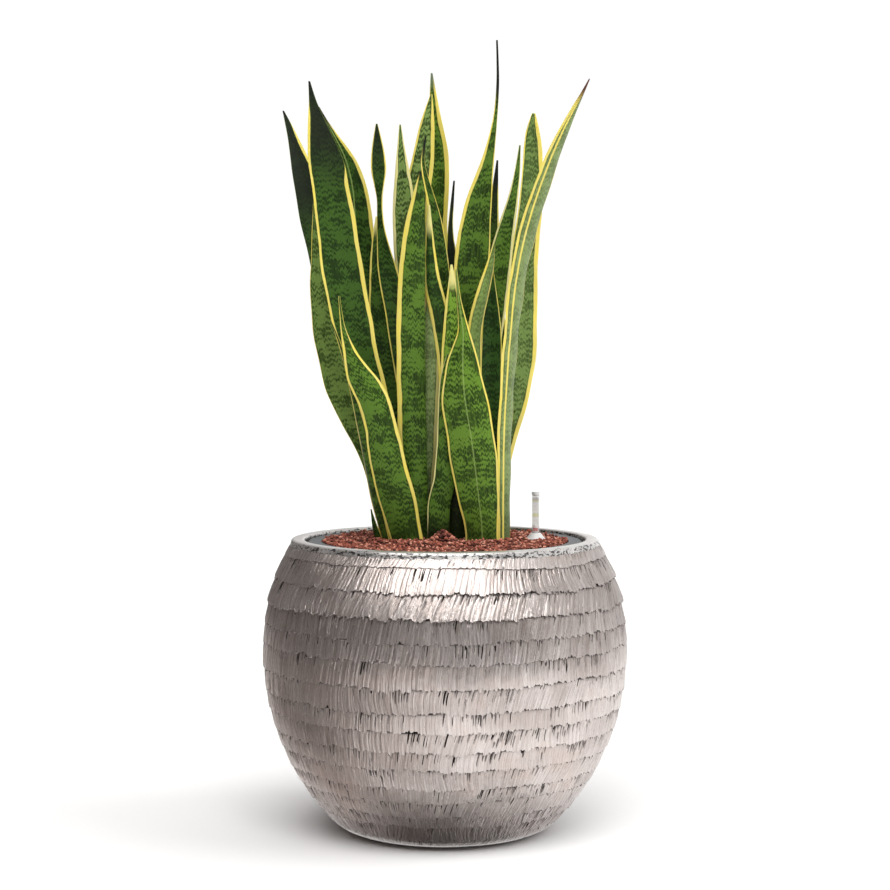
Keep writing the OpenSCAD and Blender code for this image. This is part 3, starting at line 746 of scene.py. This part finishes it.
LOOKS = {
    "leaf_front_right": dict(left=1.8, right=1.8, light=0.55, fold_highlight=0.5),
    "leaf_front_left": dict(left=2.2, right=3.4, light=0.40),
    "leaf_left_strip": dict(left=4.5, right=1.2, light=0.3),
    "leaf_low_blade": dict(left=0, right=0.8, light=0.1),
    "leaf_front_small": dict(shade=0.2, left=1.2, right=0, light=0.35, edge=CREAM),
    "leaf_front_tall": dict(left=5.0, right=0, light=0.40, tip=BLACK, tip_at=0.97),
    "leaf_right_folded": dict(left=2.6, right=1.5, light=0.35, pale=0.5, bands=0.5,
                              stripes=((-0.45, 2.2),), tip=BROWN, tip_at=0.93),
    "leaf_yellow_tip": dict(shade=0.55, left=2.5, right=2.5, light=0.9, tip=CREAM, tip_at=0.9),
    "leaf_folded_pale": dict(shade=0.4, left=2.5, right=2.5, light=0.8, pale=0.4, bands=0.5),
    "leaf_narrow_dark": dict(shade=0.4, left=3.5, right=2.5, light=0.15, tip=CREAM, tip_at=0.9),
    "leaf_pale_strip": dict(shade=0.28, left=1.0, right=4.0, light=0.5, pale=0.6, bands=0.6,
                            edge=(0.55, 0.50, 0.14)),
    "leaf_left_broad": dict(left=2.6, right=4.2, light=0.14, dusk=0.74, until=(0.97, 0.83),
                            tip=BLACK, tip_at=0.96),
    "leaf_right_centre": dict(shade=0.25, left=3.6, right=1.2, light=0.4, tip=BLACK, tip_at=0.86),
    "leaf_dark_back": dict(shade=0.5, left=1.0, right=1.0, light=0.05),
    "leaf_twisted": dict(shade=0.25, left=1.4, right=1.4, light=0.12, dusk=0.84),
    "leaf_bright_tip": dict(left=2.0, right=2.0, light=0.2, tip=CREAM, tip_at=0.93),
    "leaf_hook_tip": dict(shade=0.3, left=3.5, right=1.0, light=0.3, tip=BLACK, tip_at=0.93),
    "leaf_left_outer": dict(left=0.6, right=3.0, light=0.6, pale=0.25, bands=0.9),
    "leaf_left_lean": dict(left=1.2, right=3.6, light=0.10, dusk=0.66, until=(0.62, 0.99),
                           tip=BLACK, tip_at=0.97),
    "leaf_left_curl": dict(shade=0.25, left=1.5, right=3.6, light=0.12, fold_highlight=0.6, tip=BLACK, tip_at=0.93),
    "leaf_pale_margin": dict(shade=0.3, left=3.0, right=3.0, light=0.5, pale=0.25, edge=CREAM),
    "leaf_centre_high": dict(shade=0.3, left=2.2, right=4.2, light=0.6, pale=0.3),
    "leaf_centre_back": dict(shade=0.3, left=1.5, right=5.0, light=0.45, tip=(0.16, 0.2, 0.12), tip_at=0.95),
    "leaf_centre_spike": dict(shade=0.3, left=1.6, right=1.6, light=0.08, dusk=0.66, tip=BLACK, tip_at=0.9),
    "leaf_right_inner": dict(shade=0.35, left=2.0, right=2.5, light=0.4, edge=CREAM),
    "leaf_right_spike": dict(left=1.5, right=2.0, light=0.3, dusk=0.75, tip=BLACK, tip_at=0.9),
    "leaf_right_outer": dict(left=1.5, right=4.4, light=0.42, pale=0.25, bands=0.8),
    "leaf_back_left": dict(left=3.0, right=4.0, light=0.45),
    "leaf_back_middle": dict(left=4.0, right=3.0, light=0.5),
    "leaf_back_right": dict(left=3.0, right=3.0, light=0.4),
    "leaf_back_low": dict(left=3.0, right=3.5, light=0.5),
    "leaf_back_short": dict(left=3.0, right=3.0, light=0.55),
}

for index, name in enumerate(LEAF_NAMES):
    build_leaf(name, LOOKS[name], index)


# ---------------------------------------------------------------- granules

def clay_look():
    """Fired clay: a colour of its own for each pellet, pores, and painted shade on each pellet's underside
    (low lift).
    """
    m = Look("clay_granules")
    cloud = m.noise(m.scaled(300), 3, 0.6)
    pore = m.noise(m.scaled(1500), 2, 0.7)
    ramp = m.add("ShaderNodeValToRGB")
    m.put(ramp.inputs[0], m.attribute("own"))
    stops = ramp.color_ramp.elements
    stops[0].position, stops[0].color = 0.0, (0.035, 0.008, 0.005, 1)
    stops[1].position, stops[1].color = 1.0, (0.85, 0.42, 0.30, 1)
    for at, colour in ((0.3, (0.15, 0.034, 0.020, 1)), (0.65, (0.37, 0.098, 0.058, 1))):
        stops.new(at).color = colour
    colour = m.mix(m.step(cloud, 0.35, 0.7, 0, 0.3), ramp.outputs[0], (0.33, 0.10, 0.065))
    colour = m.mix(m.step(pore, 0.42, 0.3, 0, 0.6), colour, (0.08, 0.02, 0.014))
    # Painted shade on the pellets' undersides, where they sit in the bed
    colour = m.mix(m.step(m.attribute("lift"), 0.42, -0.35, 0, 0.94), colour, (0.020, 0.006, 0.004))
    m.surface(Base_Color=colour, Roughness=m.step(pore, 0.3, 0.7, 0.75, 0.9),
              Normal=m.bump(pore, 0.5, 0.0005))
    return m.material


def pellet_shapes(rng, count):
    """A few lumpy pellets of radius 1, as (count, n, 3) points and their shared triangles."""
    ball = bmesh.new()
    bmesh.ops.create_icosphere(ball, subdivisions=1, radius=1)
    points = np.array([v.co[:] for v in ball.verts])
    faces = np.array([[v.index for v in f.verts] for f in ball.faces])
    ball.free()
    shapes = []
    for _ in range(count):
        lumps = rng.normal(0, 1, (5, 3))
        lumps /= np.linalg.norm(lumps, axis=1)[:, None]
        size = 1 + (np.clip(points @ lumps.T, 0, 1) ** 3 * rng.uniform(-0.22, 0.22, 5)).sum(1)
        shapes.append(points * size[:, None] * rng.uniform(0.82, 1.15, 3))
    return np.array(shapes), faces


def spin(rng, count):
    """Random rotations, as (count, 3, 3)."""
    q = rng.normal(0, 1, (count, 4))
    q /= np.linalg.norm(q, axis=1)[:, None]
    w, x, y, z = q.T
    return np.stack([
        np.stack([1 - 2 * (y * y + z * z), 2 * (x * y - w * z), 2 * (x * z + w * y)], -1),
        np.stack([2 * (x * y + w * z), 1 - 2 * (x * x + z * z), 2 * (y * z - w * x)], -1),
        np.stack([2 * (x * z - w * y), 2 * (y * z + w * x), 1 - 2 * (x * x + y * y)], -1)], 1)


GAUGE = sum(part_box("gauge_tube"), Vector()) / 2 / MM
GAUGE_ROOM = 13.4               # pellets stay this far from the gauge's axis
BED_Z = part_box("liner_granules")[1].z / MM
STEMS = [blade_lines(n)[1][0] for n in LEAF_NAMES]
PITCH = 3.7                     # spacing of the pellets
LAYERS = (0.5, -1.0, 3.5, 6.5)  # depth of each layer of pellets below the surface


def clear_of_stems(places, gap):
    """True where a place is clear of every blade's foot."""
    free = np.ones(len(places), bool)
    for line in STEMS:
        for a, b in ((line[0:2], line[2:4]), (line[2:4], line[4:6])):
            t = np.clip(((places - a) @ (b - a)) / max((b - a) @ (b - a), 1e-6), 0, 1)
            free &= np.linalg.norm(places - (a + t[:, None] * (b - a)), axis=1) > gap
    return free


def heap(x, y):
    """Height of the pellets' surface over the bed: a mound in front of the leaves, a slow swell,
    and enough to cover the crown."""
    mound = 11.5 * np.exp(-(((x + 2.5) / 10.5) ** 2 + ((y + 41) / 7) ** 2))
    swell = 0.8 * np.sin(x * 0.055 + 1) * np.sin(y * 0.06 + 2) + 0.5 * np.sin(x * 0.16 + y * 0.13)
    over_crown = 2.6 * np.clip((90 - np.hypot(x, y)) / 8, 0, 1)
    return mound + swell + over_crown


def pellet_places(rng, low_r, high_r):
    """Places and heights of the pellets between two radii, clear of the leaves and the gauge."""
    places, heights = [], []
    for layer, drop in enumerate(LAYERS):
        n = int(2 * high_r / PITCH) + 2
        gx, gy = np.meshgrid(np.arange(-n, n + 1), np.arange(-n, n + 1))
        x = (gx + 0.5 * (gy % 2) + 0.31 * layer) * PITCH
        y = (gy * 0.866 + 0.37 * layer) * PITCH
        flat = np.stack([x.ravel(), y.ravel()], 1) + rng.uniform(-1, 1, (x.size, 2)) * 0.9
        keep = np.hypot(*flat.T) < high_r
        keep &= np.hypot(*flat.T) >= low_r
        keep &= np.hypot(flat[:, 0] - GAUGE.x, flat[:, 1] - GAUGE.y) > GAUGE_ROOM
        keep &= rng.random(len(flat)) < (1.0 if layer == 0 else 0.55)
        flat = flat[keep]
        flat = flat[clear_of_stems(flat, 2.4)]
        if layer > 1:
            flat = flat[heap(*flat.T) > drop]
        places.append(flat)
        heights.append(BED_Z + heap(*flat.T) - drop + rng.uniform(-1.1, 1.1, len(flat)))
    return np.vstack(places), np.concatenate(heights)


def build_granules(name, body, low_r, high_r, seed):
    rng = np.random.default_rng(seed)
    shapes, faces = pellet_shapes(rng, 9)
    flat, high = pellet_places(rng, low_r, high_r)
    count = len(flat)
    size = rng.uniform(1.4, 2.05, count)
    size = size * np.where(rng.random(count) < 0.07, 1.4, 1)
    in_mound = heap(*flat.T) > 5.8
    size = np.where(in_mound, size * rng.uniform(1.2, 1.8, count), size)
    turned = np.einsum("nij,nkj->nki", spin(rng, count), shapes[rng.integers(0, len(shapes), count)])
    points = turned * size[:, None, None] + np.column_stack([flat, high])[:, None]
    per = points.shape[1]
    index = faces[None] + (np.arange(count) * per)[:, None, None]
    own = np.repeat(rng.beta(1.3, 1.3, count), per)
    floats = {"own": own, "lift": turned[:, :, 2].ravel()}
    mesh = new_mesh(name, points.reshape(-1, 3), index.reshape(-1, 3), floats)
    piece(name, mesh, body, "clay_granules", CLAY)


CLAY = clay_look()
# Each bed's pellets are made in rings between these radii, on the bed's own body
for bed, body, rings in (("culture", "culture_set", (0, 60, 84.6)),
                         ("liner", "liner_set", (87.2, 104, 120, 134.2))):
    for k in range(len(rings) - 1):
        build_granules(f"granules_{bed}_{k + 1}", body, rings[k], rings[k + 1], len(rings) * 10 + k)


# ---------------------------------------------------------------- CAD nodes that stay

def finish_node(name, material):
    """Gives a CAD node its material."""
    mesh = nodes[name].data
    mesh.materials.clear()
    mesh.materials.append(material)


def plastic(name, low, high, rough=0.4, grain=900, strength=0.15, **more):
    """Moulded plastic between two near colours, with a fine grain."""
    m = Look(name)
    cloud = m.noise(m.scaled(25), 3, 0.6)
    fine = m.noise(m.scaled(grain), 2, 0.6)
    m.surface(Base_Color=m.mix(m.step(cloud, 0.3, 0.7), low, high),
              Roughness=m.step(fine, 0.3, 0.7, rough, rough + 0.12),
              Normal=m.bump(fine, strength, 0.0005), **more)
    return m.material


def buried_clay_in_shade():
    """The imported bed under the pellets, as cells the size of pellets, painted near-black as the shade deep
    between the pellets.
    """
    m = Look("buried_granules_in_shade")
    cell = m.add("ShaderNodeTexVoronoi")
    m.put(cell.inputs["Vector"], m.place())
    cell.inputs["Scale"].default_value = 200
    tint = m.add("ShaderNodeSeparateColor")
    m.put(tint.inputs[0], cell.outputs["Color"])
    # The whole bed is dark: painted shade of the pellets lying deeper
    colour = m.mix(tint.outputs[0], (0.018, 0.004, 0.002), (0.06, 0.014, 0.008))
    colour = m.mix(m.step(cell.outputs["Distance"], 0.35, 0.75), colour, (0.03, 0.009, 0.007))
    m.surface(Base_Color=colour, Roughness=0.9,
              Normal=m.bump(m.minus(1.0, cell.outputs["Distance"]), 1.0, 0.002))
    return m.material


def scale_card():
    """Pale card with two yellow-green level marks and thin ticks between them."""
    m = Look("gauge_card")
    z = m.height()
    fibre = m.noise(m.scaled(900), 3)
    colour = m.mix(fibre, (0.82, 0.81, 0.80), (0.88, 0.87, 0.865))
    for at, wide in ((POT_H + 24, 2.2), (POT_H + 40, 1.6)):
        away = m.math("ABSOLUTE", m.minus(z, at))
        colour = m.mix(m.step(away, wide, wide - 0.9, 0, 0.85), colour, (0.70, 0.70, 0.28))
    tick = m.math("ABSOLUTE", m.minus(m.math("FRACT", m.times(z, 0.25)), 0.5))
    colour = m.mix(m.step(tick, 0.10, 0.04, 0, 0.35), colour, (0.42, 0.44, 0.40))
    m.surface(Base_Color=colour, Roughness=m.step(fibre, 0.3, 0.7, 0.5, 0.65))
    return m.material


def indicator():
    """Float tip with a short red mark, white above and below it."""
    m = Look("indicator_red")
    low, high = (corner.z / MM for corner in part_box("red_indicator"))
    away = m.minus(m.height(), 0.58 * low + 0.42 * high)
    cloud = m.noise(m.scaled(600), 3)
    red = m.mix(cloud, (0.42, 0.006, 0.010), (0.58, 0.012, 0.014))
    colour = m.mix(m.step(m.math("ABSOLUTE", away), 2.2, 1.8), (0.72, 0.70, 0.66), red)
    m.surface(Base_Color=colour, Roughness=m.step(cloud, 0.3, 0.7, 0.35, 0.5))
    return m.material


finish_node("support_ring", plastic("support_foam", (0.018, 0.018, 0.02), (0.035, 0.035, 0.037),
                                    0.75, 500, 0.5))
finish_node("liner", plastic("liner_plastic", (0.060, 0.066, 0.072), (0.095, 0.102, 0.108), 0.42, 700, 0.35))
finish_node("culture_pot", plastic("culture_plastic", (0.045, 0.028, 0.020), (0.07, 0.045, 0.033), 0.45))
CLAY_BED = buried_clay_in_shade()
for bed in ("liner_granules", "culture_granules"):
    finish_node(bed, CLAY_BED)
for fibre_node in ("root_ball", "rhizome"):
    finish_node(fibre_node, plastic(fibre_node, (0.12, 0.075, 0.035), (0.34, 0.24, 0.13), 0.8, 260, 0.9))
finish_node("gauge_tube", plastic("gauge_clear", (0.86, 0.86, 0.86), (0.92, 0.92, 0.92),
                                  0.12, 300, 0.05, Alpha=0.16))
for white_node in ("gauge_cap", "gauge_collar", "gauge_float"):
    finish_node(white_node, plastic(white_node, (0.58, 0.58, 0.575), (0.66, 0.66, 0.655), 0.32, 900, 0.12))
finish_node("gauge_scale", scale_card())
finish_node("gauge_cage", plastic("gauge_cage", (0.42, 0.43, 0.45), (0.52, 0.53, 0.55), 0.4))
finish_node("float_rod", plastic("float_rod", (0.6, 0.6, 0.6), (0.7, 0.7, 0.7), 0.4))
finish_node("red_indicator", indicator())


# ---------------------------------------------------------------- floor, light and camera

def floor():
    """Pale floor that glossy rays pass, so the metal reflects the World's lower half instead."""
    m = Look("floor")
    cloud = m.noise(m.scaled(3), 3)
    m.surface(Base_Color=m.mix(cloud, (0.90, 0.90, 0.90), (0.92, 0.92, 0.92)), Roughness=0.9,
              Specular_IOR_Level=0.1)
    mesh = bpy.data.meshes.new("floor")
    reach = 40
    corners = [(-reach, -reach, 0), (reach, -reach, 0), (reach, reach, 0), (-reach, reach, 0)]
    mesh.from_pydata(corners, [], [(0, 1, 2, 3)])
    mesh.materials.append(m.material)
    ob = bpy.data.objects.new("floor", mesh)
    scene.collection.objects.link(ob)
    ob.location.z = -0.0006
    ob.visible_glossy = False


def studio():
    """White room, darker to the left, with a dark strip in front and a bright window above it.
    The camera sees it plain white. x, y and z are parts of the direction, and turn is 0 in front."""
    world = bpy.data.worlds.new("studio")
    scene.world = world
    world.use_nodes = True
    tree = world.node_tree
    tree.nodes.clear()
    add, link = tree.nodes.new, tree.links.new

    def fill(node, values):
        for k, value in enumerate(values):
            if isinstance(value, bpy.types.NodeSocket):
                link(value, node.inputs[k])
            else:
                node.inputs[k].default_value = value
        return node.outputs[0]

    def op(kind, a, b=0.0):
        node = add("ShaderNodeMath")
        node.operation = kind
        return fill(node, (a, b))

    def ramp(value, low, high, to_low=0.0, to_high=1.0):
        node = add("ShaderNodeMapRange")
        node.interpolation_type = "SMOOTHSTEP"
        return fill(node, (value, low, high, to_low, to_high))

    way = add("ShaderNodeTexCoord")
    split = add("ShaderNodeSeparateXYZ")
    link(way.outputs["Generated"], split.inputs[0])
    x, y, z = split.outputs

    # Upper half of the room, and the floor's light below it
    room = ramp(x, -0.75, 0.6, 0.10, 0.80)
    below = op("MULTIPLY", ramp(x, -0.92, -0.25, 0.13, 1.5), ramp(z, -0.99, -0.70, 0.04, 1.0))
    behind = op("MULTIPLY", ramp(y, 0.86, 0.97), op("ADD", 1.0, op("MULTIPLY", x, 2.5)))
    room = op("MAXIMUM", room, behind)

    # Dark strip in front, from the floor to the window
    turn = op("ARCTAN2", x, op("MULTIPLY", y, -1.0))
    strip = op("MULTIPLY", ramp(z, -0.06, 0.06), ramp(z, 0.62, 0.54))
    strip = op("MULTIPLY", strip, ramp(turn, 1.15, 0.75))
    strip = op("MULTIPLY", strip, ramp(y, 0.1, -0.1))
    room = op("MULTIPLY", room, op("SUBTRACT", 1.0, op("MULTIPLY", strip, 0.93)))

    # Window above the strip
    window = op("MULTIPLY", ramp(z, 0.58, 0.65), ramp(z, 0.985, 0.93))
    window = op("MULTIPLY", window, op("MULTIPLY", ramp(turn, -1.05, -0.72), ramp(turn, 0.72, 0.45)))
    window = op("MULTIPLY", window, 4.8)

    under = ramp(z, -0.03, -0.11)
    value = op("ADD", op("MULTIPLY", room, op("SUBTRACT", 1.0, under)), op("MULTIPLY", below, under))
    value = op("ADD", value, window)

    # Warmer on the left
    lit = add("ShaderNodeBackground")
    link(value, lit.inputs["Strength"])
    tint = add("ShaderNodeMix")
    tint.data_type = "RGBA"
    link(ramp(x, -0.95, -0.25), tint.inputs[0])
    tint.inputs[6].default_value = (1, 0.82, 0.75, 1)
    tint.inputs[7].default_value = (1, 0.992, 0.985, 1)
    link(tint.outputs[2], lit.inputs["Color"])
    plain = add("ShaderNodeBackground")
    plain.inputs["Color"].default_value = (1, 1, 1, 1)
    plain.inputs["Strength"].default_value = 1.02
    seen = add("ShaderNodeLightPath")
    mixed = add("ShaderNodeMixShader")
    link(seen.outputs["Is Camera Ray"], mixed.inputs[0])
    link(lit.outputs[0], mixed.inputs[1])
    link(plain.outputs[0], mixed.inputs[2])
    out = add("ShaderNodeOutputWorld")
    link(mixed.outputs[0], out.inputs[0])


def lamp(name, kind, power, place, aim, **more):
    light = bpy.data.lights.new(name, kind)
    light.energy = power
    for key, value in more.items():
        setattr(light, key, value)
    ob = bpy.data.objects.new(name, light)
    scene.collection.objects.link(ob)
    ob.location = place
    ob.rotation_euler = (Vector(aim) - Vector(place)).to_track_quat("-Z", "Y").to_euler()
    return ob


floor()
studio()
lamp("sun_right", "SUN", 1.15, (2.6, -0.5, 2.2), (0, 0, 0.2), angle=0.7).visible_glossy = False
lamp("sun_top", "SUN", 0.3, (0.1, -0.4, 3.0), (0, 0, 0.2), angle=1.4).visible_glossy = False

PITCH_DOWN = 2.75               # degrees
camera = bpy.data.cameras.new("camera")
camera.sensor_width = 36
camera.lens = 83.0
view = bpy.data.objects.new("camera", camera)
scene.collection.objects.link(view)
view.location = (0, -2.25, 0.53)
view.rotation_euler = (math.radians(90 - PITCH_DOWN), 0, 0)
scene.camera = view
scene.view_settings.view_transform = "Standard"
